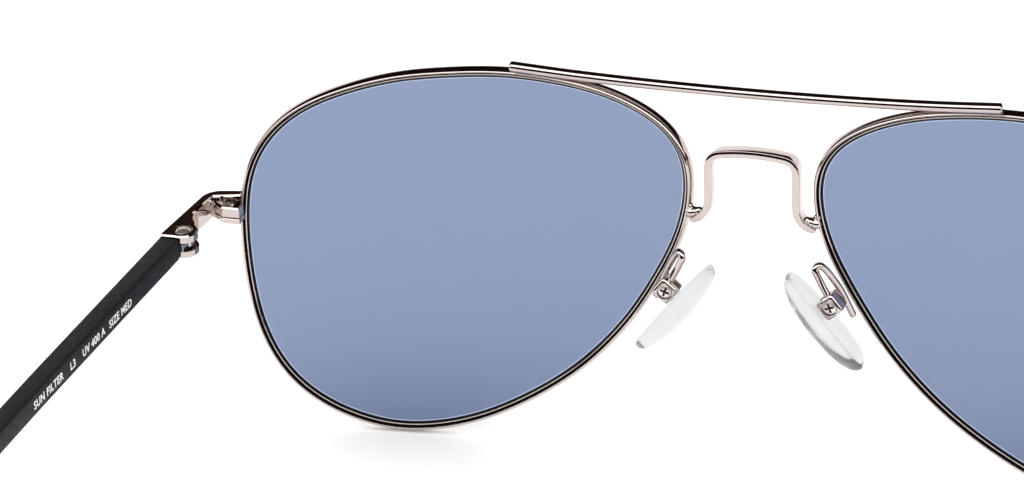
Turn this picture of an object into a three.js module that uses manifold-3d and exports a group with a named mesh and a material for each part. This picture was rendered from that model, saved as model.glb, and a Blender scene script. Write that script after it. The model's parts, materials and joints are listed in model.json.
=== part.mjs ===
// Aviator sunglasses: double bridge, grooved wire rims, screw-on nose pads, sleeved folding temples.
//
// Millimetres, +Z up. X runs to the wearer's left and Y from the lenses towards the face.
// The glasses stand as they do on a table, on the rims' lower edges and the temple tips.
// Every pair is made once for the wearer's left (+X) and mirrored for the right (-X).
//
// Three flat frames of axes are used, all with the same origin midway between the lenses:
//   front   rims, lenses, bars and pads, leaned forward at the top by FRONT_TILT
//   arms    end pieces, hinges and temples, falling towards the ears by TEMPLE_FALL
//   pad     one for each nose pad, on its screw's axis and turned by PAD_SPLAY
import * as THREE from 'three';
import { mergeVertices } from 'three/addons/utils/BufferGeometryUtils.js';
import Module from 'manifold-3d';

const wasm = await Module();
wasm.setup();

// ---------------------------------------------------------------- driving dimensions

const DEGREE = Math.PI / 180;
const LENS_WIDTH = 57;
const BRIDGE_WIDTH = 16;
const LENS_CENTRE_X = (LENS_WIDTH + BRIDGE_WIDTH) / 2;
const BASE_CURVE_RADIUS = 115;
const WRAP = 1.5 * DEGREE;
const FRONT_TILT = 2 * DEGREE;
const TEMPLE_FALL = 2.9 * DEGREE;

const RIM_WIDTH = 0.87;
const RIM_DEPTH = 1.6;
const GROOVE_DEPTH = 0.55;
const GROOVE_OPENING = 0.8;
const GROOVE_CENTRE = -0.25;
const LENS_BEVEL = 0.4;
const LENS_THICKNESS = 1.1;
const LENS_SHOULDER_GAP = 0.12;

const BAR_RADIUS = 0.68;
const BRIDGE_THICKNESS = 0.95;
const BRIDGE_DEPTH = 2;

const STRIP_TOP = 3.2;
const STRIP_BOTTOM = 0.15;
const HINGE_X = 68.9;
const HINGE_Y = 14.6;
const LUG_RADIUS = 1.85;
const KNUCKLE_RADIUS = 1.25;
const UPPER_LUG_BOTTOM = 2.2;
const LOWER_LUG_TOP = 1.05;
const KNUCKLE_CLEARANCE = 0.1;
const JOINT_Y = 16.4;
const HINGE_SCREW_RADIUS = 0.55;
const HINGE_BORE_RADIUS = 0.65;

const CORE_WIDTH = 0.9;
const CORE_HEIGHT = 1.4;
const CORE_GAP = 0.25;
const SLEEVE_WIDTH = 2.6;
const SLEEVE_HEIGHT = 2.9;
const SLEEVE_FRONT_Y = 16.9;

const PAD_SCREW_X = 10.2;
const PAD_SCREW_Y = 5.4;
const PAD_SCREW_Z = -3.55;
const PAD_SPLAY = 39 * DEGREE;
const PAD_TWIST = 6 * DEGREE;
const PAD_LEAN = 6 * DEGREE;
const PAD_LENGTH = 14.6;
const PAD_WIDTH = 7.2;
const PAD_THICKNESS = 2.7;
const PAD_BOX_SIDE = 2.5;

const SCREW_SIDES = 16;
const RIM_STATIONS = 64;
const TEMPLE_STEPS = 26;

// Edge of the glass that shows inside the left rim, seen from the wearer's side:
// outwards from the lens's centre towards the temple, and up.
const LENS_OUTLINE = [
  [27.05, 6.65], [21.55, 13.9], [11.6, 18.35], [1.6, 20.25],
  [-8.25, 20.85], [-19.6, 19.3], [-27.15, 14.25], [-27.45, 4.85],
  [-22.35, -6.05], [-16.3, -14], [-8.85, -20.15], [0.7, -24.85],
  [10.85, -25.95], [20.3, -22.3], [25.85, -15.1], [28.05, -4],
];

// Middle of the left temple from the hinge to the tip, in the arms frame.
const TEMPLE_ROUTE = [
  [70.05, 16.9, 1.52], [71.3, 38, 1.52], [72.55, 60.7, 1.5], [73.3, 81, 1.4],
  [73.3, 104, 0.6], [72.3, 119.5, -2.1], [70.9, 131.5, -7.2], [69.4, 142, -14.3],
  [68.7, 147, -18.45],
];

// Half of the middle line of each bar, from the centre outwards, in the front frame.
const TOP_BAR_ROUTE = [[0, 2.4, 21.3], [12, 2.6, 21.5], [22, 3.1, 22.0], [30.2, 3.5, 22.6]];
const BRIDGE_ROUTE = [
  [0, 14.1], [2.6, 13.95], [4.3, 13.55], [5.1, 12.95], [5.4, 12], [5.42, 8.2], [5.65, 6.75],
  [6.35, 5.65], [7.25, 4.95],
];
const BRIDGE_Y = 3.15;

// Middle of the left pad arm's wire, from its foot on the rim, up and over, into the pad box.
const PAD_ARM_ROUTE = [
  [12.4, 2.9, -6], [11.6, 3.2, -4.1], [10.85, 3.7, -2.2], [10.1, 4.25, -0.75], [9.2, 4.85, 0.75],
  [8.5, 5.35, 1.3], [8.0, 5.8, 0.9], [8.45, 5.85, -0.5], [9.05, 5.75, -1.6], [9.95, 5.7, -2.7],
];
const PAD_ARM_RADIUS = 0.46;

// ---------------------------------------------------------------- materials

const material = (name, color, roughness, metalness, opacity = 1) => {
  const finish = new THREE.MeshStandardMaterial({ color, roughness, metalness });
  finish.name = name;
  finish.opacity = opacity;
  finish.transparent = opacity < 1;
  return finish;
};
const POLISHED = material('polished_nickel', 0xd8cbc6, 0.12, 1);
const TINTED = material('tinted_lens', 0x7186ad, 0.05, 0, 0.55);
const CLEAR = material('clear_silicone', 0xf2f2f4, 0.2, 0, 0.35);
const SLEEVE = material('black_sleeve', 0x1d1e1e, 0.6, 0);
const SCREW = material('screw_steel', 0xb9ada5, 0.3, 1);

// ---------------------------------------------------------------- solids

// Position-only copy with shared corners, no collapsed triangles and its faces pointing out.
function solid(source) {
  const bare = source.clone();
  bare.deleteAttribute('normal');
  bare.deleteAttribute('uv');
  const merged = mergeVertices(bare, 1e-4);
  const corners = merged.attributes.position;
  const triangles = [];
  const [a, b, c] = [new THREE.Vector3(), new THREE.Vector3(), new THREE.Vector3()];
  let volume = 0;
  for (let k = 0; k < merged.index.count; k += 3) {
    const [i, j, l] = [0, 1, 2].map((step) => merged.index.getX(k + step));
    if (i === j || j === l || l === i) continue;
    a.fromBufferAttribute(corners, i);
    b.fromBufferAttribute(corners, j);
    c.fromBufferAttribute(corners, l);
    volume += a.dot(b.cross(c));
    triangles.push([i, j, l]);
  }
  merged.setIndex(triangles.flatMap(([i, j, l]) => (volume < 0 ? [i, l, j] : [i, j, l])));
  return merged;
}

function toManifold(geometry) {
  const closed = solid(geometry);
  return new wasm.Manifold(new wasm.Mesh({
    numProp: 3,
    vertProperties: new Float32Array(closed.attributes.position.array),
    triVerts: new Uint32Array(closed.index.array),
  }));
}

function toGeometry(manifold) {
  const mesh = manifold.getMesh();
  const geometry = new THREE.BufferGeometry();
  geometry.setAttribute('position', new THREE.BufferAttribute(mesh.vertProperties, 3));
  geometry.setIndex(new THREE.BufferAttribute(mesh.triVerts, 1));
  return geometry;
}

// The first list joined together, less everything in the second list.
function carve(joined, removed = []) {
  let body = joined.map(toManifold).reduce((whole, next) => whole.add(next));
  for (const tool of removed) body = body.subtract(toManifold(tool));
  return toGeometry(body);
}

function mirrored(geometry) {
  return geometry.clone().applyMatrix4(new THREE.Matrix4().makeScale(-1, 1, 1));
}

// Box between two opposite corners.
function block(low, high) {
  const size = high.map((value, k) => value - low[k]);
  const middle = high.map((value, k) => (value + low[k]) / 2);
  return new THREE.BoxGeometry(...size).translate(...middle);
}

function uprightCylinder(x, y, radius, bottom, top) {
  const cylinder = new THREE.CylinderGeometry(radius, radius, top - bottom, SCREW_SIDES);
  return cylinder.rotateX(Math.PI / 2).translate(x, y, (top + bottom) / 2);
}

function lyingCylinder(radius, front, rear) {
  const cylinder = new THREE.CylinderGeometry(radius, radius, rear - front, SCREW_SIDES);
  return cylinder.translate(0, (front + rear) / 2, 0);
}

// Plan shape in X and Y, raised between two heights.
function raised(shape, bottom, top) {
  const options = { depth: top - bottom, bevelEnabled: false, curveSegments: 10 };
  return new THREE.ExtrudeGeometry(shape, options).translate(0, 0, bottom);
}

function planShape(points) {
  return new THREE.Shape(points.map(([x, y]) => new THREE.Vector2(x, y)));
}

// Screw standing on Z: a round head with a straight slot, over a plain shank.
function slottedScrew(x, y, headRadius, headBottom, headTop, shankRadius, shankBottom) {
  const slotHalfWidth = headRadius * 0.16;
  const slotBottom = headTop - (headTop - headBottom) * 0.5;
  const slot = block(
    [x - headRadius * 1.2, y - slotHalfWidth, slotBottom],
    [x + headRadius * 1.2, y + slotHalfWidth, headTop + 1],
  );
  return carve([
    uprightCylinder(x, y, headRadius, headBottom, headTop),
    uprightCylinder(x, y, shankRadius, shankBottom, headBottom + 0.05),
  ], [slot]);
}

// ---------------------------------------------------------------- lens surface

const vector = ([x, y, z]) => new THREE.Vector3(x, y, z);
const outline = new THREE.CatmullRomCurve3(
  LENS_OUTLINE.map(([u, v]) => new THREE.Vector3(u, v, 0)),
  true,
  'catmullrom',
  0.5,
);

// Point of the left lens: a share of the outline at t, moved outwards by offset, then lifted
// along the lens's own normal by depth from its middle surface.
function onLens(t, share, offset, depth) {
  const edge = outline.getPoint(t);
  const along = outline.getTangent(t);
  const u = edge.x * share + along.y * offset;
  const v = edge.y * share - along.x * offset;
  const reach = Math.sqrt(BASE_CURVE_RADIUS ** 2 - u * u - v * v);
  const shrink = 1 - depth / BASE_CURVE_RADIUS;
  const point = new THREE.Vector3(u * shrink, BASE_CURVE_RADIUS - reach * shrink, v * shrink);
  point.applyAxisAngle(new THREE.Vector3(0, 0, 1), WRAP);
  point.x += LENS_CENTRE_X;
  return point;
}

// A lathe ring or disc drawn out from a circle to the lens's outline.
// Each profile point is [share, offset, depth].
function lensLathe(profile) {
  const turned = profile.map(([share, offset, depth]) => (
    new THREE.Vector2(share === 0 ? 0 : share * 25 + offset, depth)));
  const lathe = new THREE.LatheGeometry(turned, RIM_STATIONS);
  const places = lathe.attributes.position;
  for (let k = 0; k < places.count; k += 1) {
    const station = Math.floor(k / profile.length) % RIM_STATIONS;
    const point = onLens(station / RIM_STATIONS, ...profile[k % profile.length]);
    places.setXYZ(k, point.x, point.y, point.z);
  }
  return solid(lathe);
}

// ---------------------------------------------------------------- front

const RIM_SLIT = 0.25;
const RIM_SLIT_Z = 1.05;

function makeRim() {
  const half = RIM_DEPTH / 2;
  const opening = GROOVE_OPENING / 2;
  const rounding = 0.28;
  const section = [
    [0, GROOVE_CENTRE + opening], [GROOVE_DEPTH, GROOVE_CENTRE + 0.08],
    [GROOVE_DEPTH, GROOVE_CENTRE - 0.08], [0, GROOVE_CENTRE - opening],
    [0, -half + 0.15], [0.15, -half], [RIM_WIDTH - rounding, -half], [RIM_WIDTH, -half + rounding],
    [RIM_WIDTH, half - rounding], [RIM_WIDTH - rounding, half], [0.15, half], [0, half - 0.15],
    [0, GROOVE_CENTRE + opening],
  ];
  const ring = lensLathe(section.map(([offset, depth]) => [1, offset, depth]));
  const slit = block([60, 0, RIM_SLIT_Z - RIM_SLIT / 2], [70, 10, RIM_SLIT_Z + RIM_SLIT / 2]);
  return carve([ring], [slit]);
}

function makeLens() {
  const half = LENS_THICKNESS / 2;
  const shoulder = 0.33;
  const profile = [
    [0, 0, -half], [0.6, 0, -half], [1, -LENS_SHOULDER_GAP, -half],
    [1, -LENS_SHOULDER_GAP, -shoulder], [1, LENS_BEVEL, -0.05], [1, LENS_BEVEL, 0.05],
    [1, -LENS_SHOULDER_GAP, shoulder], [1, -LENS_SHOULDER_GAP, half],
    [0.6, 0, half], [0, 0, half],
  ];
  return lensLathe(profile.map(([share, offset, depth]) => [share, offset, depth + GROOVE_CENTRE]));
}

function wholeRoute(half) {
  const right = half.slice(1).map(([x, y, z]) => [-x, y, z]).reverse();
  return new THREE.CatmullRomCurve3([...right, ...half].map(vector));
}

function roundSection(radius, sides) {
  const corners = Array.from({ length: sides }, (_, k) => {
    const angle = (k + 0.5) / sides * 2 * Math.PI;
    return new THREE.Vector2(radius * Math.cos(angle), radius * Math.sin(angle));
  });
  return new THREE.Shape(corners);
}

function roundedRectangle(width, height, corner) {
  const [x, y] = [width / 2, height / 2];
  return planShape([
    [x - corner, -y], [x, -y + corner], [x, y - corner], [x - corner, y],
    [-x + corner, y], [-x, y - corner], [-x, -y + corner], [-x + corner, -y],
  ]);
}

function swept(section, route, steps) {
  const options = { steps, extrudePath: route, bevelEnabled: false };
  return new THREE.ExtrudeGeometry(section, options);
}

function makeTopBar() {
  return solid(swept(roundSection(BAR_RADIUS, 10), wholeRoute(TOP_BAR_ROUTE), 24));
}

function makeBridge() {
  const half = BRIDGE_ROUTE.map(([x, z]) => [x, BRIDGE_Y, z]);
  return solid(swept(roundedRectangle(BRIDGE_DEPTH, BRIDGE_THICKNESS, 0.15), wholeRoute(half), 32));
}

// ---------------------------------------------------------------- end piece and rim lock

const RIM_LOCK_X = 66.55;
const RIM_LOCK_Y = 5.9;
const RIM_LOCK_TOP = 2.95;
const RIM_LOCK_SPLIT_TOP = 1.45;
const RIM_LOCK_SPLIT_BOTTOM = 1.25;
const RIM_LOCK_BOTTOM = 0.75;
const POCKET_BOTTOM = 2.15;

// Flat strip from the rim, round the corner and back to the hinge, seen from above.
function stripPlan() {
  return planShape([
    [65.85, 2.95], [68.5, 3.4], [69.4, 4.05], [69.95, 5.3], [71.35, JOINT_Y],
    [70.4, JOINT_Y], [70.4, 11.8], [69.33, 9.9], [68.75, 5.8], [68.4, 4.9], [65.85, 4.1],
  ]);
}

// Top and bottom of the hinge: the strip's end spread inwards round the screw.
function lugPlan() {
  const start = 228 * DEGREE;
  const lug = new THREE.Shape();
  lug.moveTo(70.5, 9.9);
  lug.lineTo(71.35, JOINT_Y);
  lug.lineTo(HINGE_X + 0.4, JOINT_Y);
  lug.absarc(HINGE_X, HINGE_Y, LUG_RADIUS, 76 * DEGREE, start, false);
  lug.quadraticCurveTo(68.75, 11.7, 69.33, 9.9);
  return lug;
}

// Both halves of the rim's lock reach in behind the rim; their outer corner is cut off.
function lockPlan() {
  return planShape([
    [64.35, 5.55], [65.95, 5.55], [65.95, 3.6], [68.5, 3.9], [68.95, 5.2], [68.95, 5.6],
    [68.2, 6.0], [66.65, 7.3], [64.35, 7.3],
  ]);
}

function lockPocketPlan() {
  return planShape([
    [64.65, 5.85], [65.55, 5.85], [65.55, 4.6], [67.75, 4.6], [67.95, 5.8], [66.6, 7.0], [64.65, 7.0],
  ]);
}

function makeEndPiece() {
  const counterbore = uprightCylinder(HINGE_X, HINGE_Y, 1.2, 2.7, STRIP_TOP + 1);
  const hingeBore = uprightCylinder(HINGE_X, HINGE_Y, HINGE_BORE_RADIUS, -1, STRIP_TOP + 1);
  const lockBore = uprightCylinder(RIM_LOCK_X, RIM_LOCK_Y, 0.6, 0, STRIP_TOP + 1);
  return carve([
    raised(stripPlan(), STRIP_BOTTOM, STRIP_TOP),
    raised(lugPlan(), UPPER_LUG_BOTTOM, STRIP_TOP),
    raised(lugPlan(), STRIP_BOTTOM, LOWER_LUG_TOP),
    raised(lockPlan(), RIM_LOCK_SPLIT_TOP, RIM_LOCK_TOP),
  ], [counterbore, hingeBore, raised(lockPocketPlan(), POCKET_BOTTOM, STRIP_TOP + 1), lockBore]);
}

function makeRimLockPlate() {
  const plan = planShape([
    [64.35, 5.55], [65.7, 5.55], [65.7, 5.05], [68.3, 5.05], [68.2, 6.0], [66.65, 7.3], [64.35, 7.3],
  ]);
  const plate = raised(plan, RIM_LOCK_BOTTOM, RIM_LOCK_SPLIT_BOTTOM);
  return carve([plate], [uprightCylinder(RIM_LOCK_X, RIM_LOCK_Y, 0.55, 0, 2)]);
}

function makeRimLockScrew() {
  return slottedScrew(RIM_LOCK_X, RIM_LOCK_Y, 0.7, 2.25, 2.75, 0.4, 0.6);
}

function makeHingeScrew() {
  return slottedScrew(HINGE_X, HINGE_Y, 1.05, 2.8, 3.35, HINGE_SCREW_RADIUS, STRIP_BOTTOM);
}

// ---------------------------------------------------------------- temple

const templeRoute = new THREE.CatmullRomCurve3(TEMPLE_ROUTE.map(vector));

// Stretch of the temple's middle line, begun early by a straight lead towards the hinge.
function templeStretch(end, lead) {
  const places = Array.from({ length: 20 }, (_, k) => templeRoute.getPointAt(k / 19 * end));
  if (lead > 0) {
    const start = places[0].clone().addScaledVector(templeRoute.getTangentAt(0), -lead);
    places.unshift(start);
  }
  return new THREE.CatmullRomCurve3(places);
}

function makeTempleHinge() {
  const bottom = LOWER_LUG_TOP + KNUCKLE_CLEARANCE;
  const top = UPPER_LUG_BOTTOM - KNUCKLE_CLEARANCE;
  const bore = uprightCylinder(HINGE_X, HINGE_Y, HINGE_BORE_RADIUS, bottom - 1, top + 1);
  return carve([
    uprightCylinder(HINGE_X, HINGE_Y, KNUCKLE_RADIUS, bottom, top),
    block([68.1, HINGE_Y, bottom], [69.9, 16.7, top]),
    block([68.85, JOINT_Y + 0.12, 0.25], [71.3, 16.8, 2.8]),
  ], [bore]);
}

function makeTempleCore() {
  const section = planShape([
    [-CORE_HEIGHT / 2, -CORE_WIDTH / 2], [CORE_HEIGHT / 2, -CORE_WIDTH / 2],
    [CORE_HEIGHT / 2, CORE_WIDTH / 2], [-CORE_HEIGHT / 2, CORE_WIDTH / 2],
  ]);
  return solid(swept(section, templeStretch(0.93, 0), TEMPLE_STEPS));
}

function makeTempleSleeve() {
  const outside = swept(
    roundedRectangle(SLEEVE_HEIGHT, SLEEVE_WIDTH, 0.6),
    templeStretch(1, 0),
    TEMPLE_STEPS,
  );
  const channel = swept(
    roundedRectangle(CORE_HEIGHT + 2 * CORE_GAP, CORE_WIDTH + 2 * CORE_GAP, 0.05),
    templeStretch(0.95, 1),
    TEMPLE_STEPS,
  );
  return carve([outside], [channel]);
}

// ---------------------------------------------------------------- nose pads

const PAD_BACK_X = -1.6;
const TONGUE_WIDTH = 1.5;
const TONGUE_THICKNESS = 1.0;
const PAD_CENTRE_Y = -0.4;
const PAD_CENTRE_Z = -1.25;

// Pad in its own frame: the screw runs on Y, the nose is towards -X, the pad's length is on Z.
function makeNosePad() {
  const [halfLength, halfWidth] = [PAD_LENGTH / 2, PAD_WIDTH / 2];
  const bevel = 0.6;
  const shape = new THREE.Shape();
  shape.absellipse(0, 0, halfWidth - bevel, halfLength - bevel, 0, 2 * Math.PI, false, 0);
  const cushion = new THREE.ExtrudeGeometry(shape, {
    depth: PAD_THICKNESS - 2 * bevel,
    bevelEnabled: true,
    bevelThickness: bevel,
    bevelSize: bevel,
    bevelSegments: 2,
    curveSegments: 14,
  });
  cushion.rotateX(Math.PI / 2).rotateZ(Math.PI / 2);
  cushion.translate(PAD_BACK_X - PAD_THICKNESS + bevel, 0, 0);
  cushion.translate(0, 0, PAD_CENTRE_Z).rotateX(-PAD_LEAN);
  cushion.rotateZ(-PAD_TWIST).translate(0, PAD_CENTRE_Y, 0);
  const halfTongue = TONGUE_THICKNESS / 2;
  const tongue = block(
    [PAD_BACK_X - 0.6, -halfTongue, -TONGUE_WIDTH / 2],
    [0, halfTongue, TONGUE_WIDTH / 2],
  );
  const tip = lyingCylinder(TONGUE_WIDTH / 2, -halfTongue, halfTongue);
  return carve([cushion, tongue, tip], [lyingCylinder(0.42, -2, 2)]);
}

function makePadBox() {
  const half = PAD_BOX_SIDE / 2;
  const slotHalf = TONGUE_THICKNESS / 2 + 0.12;
  return carve([block([-half, -half, -half], [half, half, half])], [
    block([-half - 1, -slotHalf, -half - 1], [0.87, slotHalf, half + 1]),
    lyingCylinder(0.42, -2, 2),
    lyingCylinder(0.98, 0.8, 2),
  ]);
}

// Wire and box in one piece, as they are brazed, in the front frame.
function makePadArm() {
  const wire = swept(
    roundSection(PAD_ARM_RADIUS, 8),
    new THREE.CatmullRomCurve3(PAD_ARM_ROUTE.map(vector)),
    30,
  );
  const box = makePadBox().rotateY(-PAD_SPLAY).translate(PAD_SCREW_X, PAD_SCREW_Y, PAD_SCREW_Z);
  const tonguePath = block([-2.5, -0.62, -1.4], [0.87, 0.62, 1.4]);
  tonguePath.rotateY(-PAD_SPLAY).translate(PAD_SCREW_X, PAD_SCREW_Y, PAD_SCREW_Z);
  return carve([wire, box], [tonguePath]);
}

// Cross-recessed screw, its head towards the wearer, in the pad's own frame.
function makePadScrew() {
  const recessHalf = 0.13;
  const recessBottom = 0.98;
  return carve([lyingCylinder(0.86, 0.85, 1.2), lyingCylinder(0.3, -1.2, 0.9)], [
    block([-0.5, recessBottom, -recessHalf], [0.5, 2, recessHalf]),
    block([-recessHalf, recessBottom, -0.5], [recessHalf, 2, 0.5]),
  ]);
}

// ---------------------------------------------------------------- assembly

const glasses = new THREE.Group();
const front = new THREE.Group();
const arms = new THREE.Group();
front.rotation.x = FRONT_TILT;
arms.rotation.x = -TEMPLE_FALL;
glasses.add(front, arms);

function addNode(group, name, geometry, finish) {
  const mesh = new THREE.Mesh(geometry, finish);
  mesh.name = name;
  group.add(mesh);
}

function addPair(leftGroup, rightGroup, name, geometry, finish) {
  addNode(leftGroup, `left_${name}`, solid(geometry), finish);
  addNode(rightGroup, `right_${name}`, solid(mirrored(geometry)), finish);
}

function padGroup(side) {
  const group = new THREE.Group();
  group.position.set(side * PAD_SCREW_X, PAD_SCREW_Y, PAD_SCREW_Z);
  group.rotation.y = -side * PAD_SPLAY;
  front.add(group);
  return group;
}
const leftPad = padGroup(1);
const rightPad = padGroup(-1);

addPair(front, front, 'rim', makeRim(), POLISHED);
addPair(front, front, 'lens', makeLens(), TINTED);
addNode(front, 'top_bar', makeTopBar(), POLISHED);
addNode(front, 'bridge', makeBridge(), POLISHED);
addPair(front, front, 'pad_arm', makePadArm(), POLISHED);
addPair(leftPad, rightPad, 'pad_screw', makePadScrew(), SCREW);
addPair(leftPad, rightPad, 'nose_pad', makeNosePad(), CLEAR);
addPair(arms, arms, 'end_piece', makeEndPiece(), POLISHED);
addPair(arms, arms, 'rim_lock_plate', makeRimLockPlate(), POLISHED);
addPair(arms, arms, 'rim_lock_screw', makeRimLockScrew(), SCREW);
addPair(arms, arms, 'hinge_screw', makeHingeScrew(), SCREW);
addPair(arms, arms, 'temple_hinge', makeTempleHinge(), POLISHED);
addPair(arms, arms, 'temple_core', makeTempleCore(), POLISHED);
addPair(arms, arms, 'temple_sleeve', makeTempleSleeve(), SLEEVE);

// The origin is the middle of the whole pair's footprint, on the surface it stands on.
glasses.updateMatrixWorld(true);
const bounds = new THREE.Box3().setFromObject(glasses, true);
glasses.position.set(
  -(bounds.min.x + bounds.max.x) / 2,
  -(bounds.min.y + bounds.max.y) / 2,
  -bounds.min.z,
);

export default glasses;
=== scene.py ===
"""Aviator sunglasses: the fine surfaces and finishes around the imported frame.

Shapes are worked out in millimetres in the same flat frames of axes as the CAD model
(front, arms and pad), for the wearer's left, and mirrored for the right.
"""
import json
import math

import bmesh
import bpy
import numpy as np
from mathutils import Matrix, Vector


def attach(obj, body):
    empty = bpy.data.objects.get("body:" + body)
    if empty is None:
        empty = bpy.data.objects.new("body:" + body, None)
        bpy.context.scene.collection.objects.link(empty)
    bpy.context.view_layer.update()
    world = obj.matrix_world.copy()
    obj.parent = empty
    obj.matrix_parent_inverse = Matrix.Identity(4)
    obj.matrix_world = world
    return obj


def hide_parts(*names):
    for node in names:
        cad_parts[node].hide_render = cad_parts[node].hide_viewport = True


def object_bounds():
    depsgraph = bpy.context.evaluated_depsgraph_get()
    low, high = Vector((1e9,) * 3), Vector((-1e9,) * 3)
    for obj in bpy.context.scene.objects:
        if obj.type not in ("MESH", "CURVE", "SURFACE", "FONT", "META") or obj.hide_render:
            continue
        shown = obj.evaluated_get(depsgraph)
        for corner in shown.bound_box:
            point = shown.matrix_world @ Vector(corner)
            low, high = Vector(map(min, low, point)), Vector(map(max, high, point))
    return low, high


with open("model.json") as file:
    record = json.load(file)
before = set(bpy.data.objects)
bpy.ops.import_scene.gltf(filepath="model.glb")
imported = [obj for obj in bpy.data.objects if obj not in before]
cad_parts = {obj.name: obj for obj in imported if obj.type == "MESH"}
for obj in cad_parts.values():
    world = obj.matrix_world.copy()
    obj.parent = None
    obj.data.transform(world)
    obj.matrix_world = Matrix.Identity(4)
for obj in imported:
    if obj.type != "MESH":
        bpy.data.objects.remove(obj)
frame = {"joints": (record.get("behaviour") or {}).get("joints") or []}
cad_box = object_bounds()

MM = 0.001
TILT = math.radians(2.0)  # the top of the front stands forwards
FALL = math.radians(2.9)  # the arms drop towards the ears
WRAP = math.radians(1.5)  # the outer side of each lens stands back
SPLAY = math.radians(39.0)  # the lower ends of the pads stand apart
PAD_LEAN = math.radians(6.0)  # the upper ends of the pads stand back
HINGE = (68.9, 14.6, 1.6)  # middle of the hinge, in the arms' axes
LOCK_SCREW = (66.55, 5.9)  # its axis, in the arms' axes
PAD_SCREW = (10.2, 5.4, -3.55)  # origin of the pad's axes, in the front's axes


# ------------------------------------------------------------------ frames of axes

def rows(points):
    return np.atleast_2d(np.asarray(points, float))


def about_x(points, angle):
    x, y, z = rows(points).T
    c, s = math.cos(angle), math.sin(angle)
    return np.stack([x, y * c - z * s, y * s + z * c], 1)


def about_y(points, angle):
    x, y, z = rows(points).T
    c, s = math.cos(angle), math.sin(angle)
    return np.stack([x * c + z * s, y, z * c - x * s], 1)


def about_z(points, angle):
    x, y, z = rows(points).T
    c, s = math.cos(angle), math.sin(angle)
    return np.stack([x * c - y * s, x * s + y * c, z], 1)


def in_front(points):
    return about_x(points, TILT)


def in_arms(points):
    return about_x(points, -FALL)


def in_pad(points):
    return in_front(about_y(points, -SPLAY) + np.array(PAD_SCREW))


fold = next(j for j in frame["joints"] if j["name"] == "left_temple_fold")
SHIFT = np.array(fold["pos_m"]) / MM - in_arms(HINGE)[0]


# ------------------------------------------------------------------ camera and studio

CAMERA_TURN = math.radians(18.07)
CAMERA_RISE = math.radians(24.12)
CAMERA_ROLL = math.radians(-2.03)
CAMERA_DISTANCE = 564.0
CAMERA_SHIFT = (-30.02, 0.78)  # to the right and up, from the line through the middle of the front
FOCAL_LENGTH = 163.93
SENSOR_WIDTH = 36.0


def add_camera():
    """Above and behind the wearer's right side, looking down at the bridge."""
    turn, rise, roll = CAMERA_TURN, CAMERA_RISE, CAMERA_ROLL
    back = Vector((-math.sin(turn) * math.cos(rise), math.cos(turn) * math.cos(rise),
                   math.sin(rise)))
    level = Vector((-math.cos(turn), -math.sin(turn), 0))
    steep = back.cross(level)
    right = level * math.cos(roll) + steep * math.sin(roll)
    up = steep * math.cos(roll) - level * math.sin(roll)
    place = back * CAMERA_DISTANCE + right * CAMERA_SHIFT[0] + up * CAMERA_SHIFT[1] + Vector(SHIFT)
    data = bpy.data.cameras.new("camera")
    data.sensor_width = SENSOR_WIDTH
    data.lens = FOCAL_LENGTH
    data.clip_start = 0.01
    data.clip_end = 50.0
    camera = bpy.data.objects.new("camera", data)
    bpy.context.scene.collection.objects.link(camera)
    facing = Matrix((right, up, back)).transposed()
    camera.matrix_world = Matrix.Translation(place * MM) @ facing.to_4x4()
    bpy.context.scene.camera = camera


def node(tree, kind, **values):
    """Adds a node and sets its properties, or else its inputs of that name."""
    made = tree.nodes.new(kind)
    for key, value in values.items():
        if hasattr(made, key):
            setattr(made, key, value)
        else:
            made.inputs[key].default_value = value
    return made


def ranged(tree, source, low, high, start, end, kind="LINEAR"):
    """Source mapped from low..high to start..end."""
    made = node(tree, "ShaderNodeMapRange", interpolation_type=kind)
    for key, value in zip(("From Min", "From Max", "To Min", "To Max"), (low, high, start, end)):
        made.inputs[key].default_value = value
    tree.links.new(source, made.inputs["Value"])
    return made.outputs["Result"]


SOFT_LIGHT = 1.6
BRIGHTEST = 2.8
PALE = (1.0, 0.97, 0.96)
BROWN = (1.0, 0.5, 0.3)
WHITE = (1.0, 1.0, 1.0)
# What the polished metal mirrors, by angle round the X axis: 0 is level behind the glasses,
# 90 overhead and 180 level in front. Each stop is (degrees, colour, brightness).
STUDIO = [
    (-150, PALE, 1.3),
    (-149, BROWN, 0.03),
    (20, BROWN, 0.006),
    (22, WHITE, BRIGHTEST),
    (56, WHITE, BRIGHTEST),
    (58.5, (1.0, 0.55, 0.35), 0.012),
    (143, BROWN, 0.005),
    (152, BROWN, 0.035),
    (155, PALE, 1.3),
]


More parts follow.
